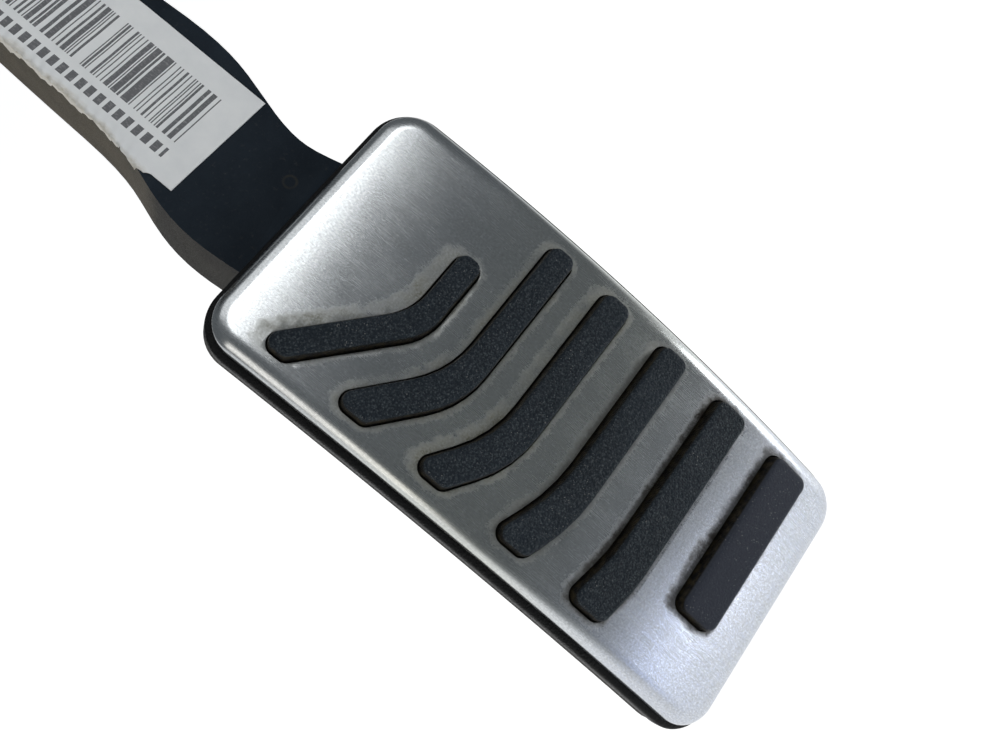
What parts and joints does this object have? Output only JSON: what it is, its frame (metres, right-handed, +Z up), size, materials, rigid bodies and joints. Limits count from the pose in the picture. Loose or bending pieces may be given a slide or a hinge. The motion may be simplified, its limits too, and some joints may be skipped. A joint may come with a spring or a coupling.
{
  "type": "suspended accelerator pedal",
  "caption": "Hanging accelerator pedal: steel-faced ribbed rubber pad on a moulded arm, sprung in a bolt-on housing with a contactless angle sensor and plug socket.",
  "frame": {"origin": "centre of the housing's vertical mounting face", "axes": "+Z up, +Y out of the mounting face towards the bulkhead, +X to the right as seen from the driver's seat, along the pivot shaft"},
  "size_m": [0.084, 0.1983, 0.2662],
  "materials": {
    "steel": "brushed along the pad, worn and lightly scratched",
    "tread": "moulded rubber with a fine leather grain",
    "arm": "black glass-filled nylon, fine spark grain",
    "housing": "black glass-filled nylon, fine grain",
    "cover": "dark grey moulded plastic",
    "zinc": "bright zinc plate",
    "shaft": "ground steel",
    "bearing": "natural acetal",
    "washer": "filled friction plastic",
    "bumper": "plain black rubber",
    "seal": "orange silicone rubber",
    "spring": "oiled spring steel",
    "board": "green solder mask",
    "chip": "black epoxy package",
    "contact": "tinned brass",
    "magnet": "sintered ferrite",
    "backing": "zinc phosphate on steel",
    "label": "white self-adhesive paper, torn at one edge"
  },
  "bodies": {
    "housing_body": {"housing": "housing", "mounting_sleeves": "zinc", "pivot_bushes": "bearing", "idle_stop_bumper": "bumper", "full_stop_bumper": "bumper", "sensor_cover": "cover", "sensor_cover_seal": "seal", "sensor_cover_screws": "zinc", "circuit_board": "board", "hall_chips": "chip", "connector_terminals": "contact", "shaft_end_cap": "cover", "return_spring_outer": "spring", "return_spring_inner": "spring"},
    "pedal_body": {"pedal_arm": "arm", "pivot_shaft": "shaft", "friction_washers": "washer", "magnet_carrier": "bearing", "ring_magnet": "magnet", "backing_plate": "backing", "tread_rubber": "tread", "pad_cover": "steel", "pad_screws": "zinc", "part_label": "label"},
    "seat_body": {"spring_seat": "bearing"}
  },
  "joints": [
    {"name": "pedal_pivot", "type": "hinge", "parent": "housing_body", "child": "pedal_body", "pos_m": [0, -0.04, 0], "axis": [1, 0, 0], "range_deg": [0, 16], "stiffness_Nm_per_rad": 14, "springref_deg": -12.03, "deforming": ["return_spring_outer", "return_spring_inner"]},
    {"name": "seat_rock", "type": "hinge", "parent": "pedal_body", "child": "seat_body", "pos_m": [0, -0.01772, -0.00313], "axis": [1, 0, 0], "range_deg": [-17, 0.5]}
  ],
  "couplings": [
    {"joint": "seat_rock", "follows": "pedal_pivot", "ratio": -1}
  ]
}
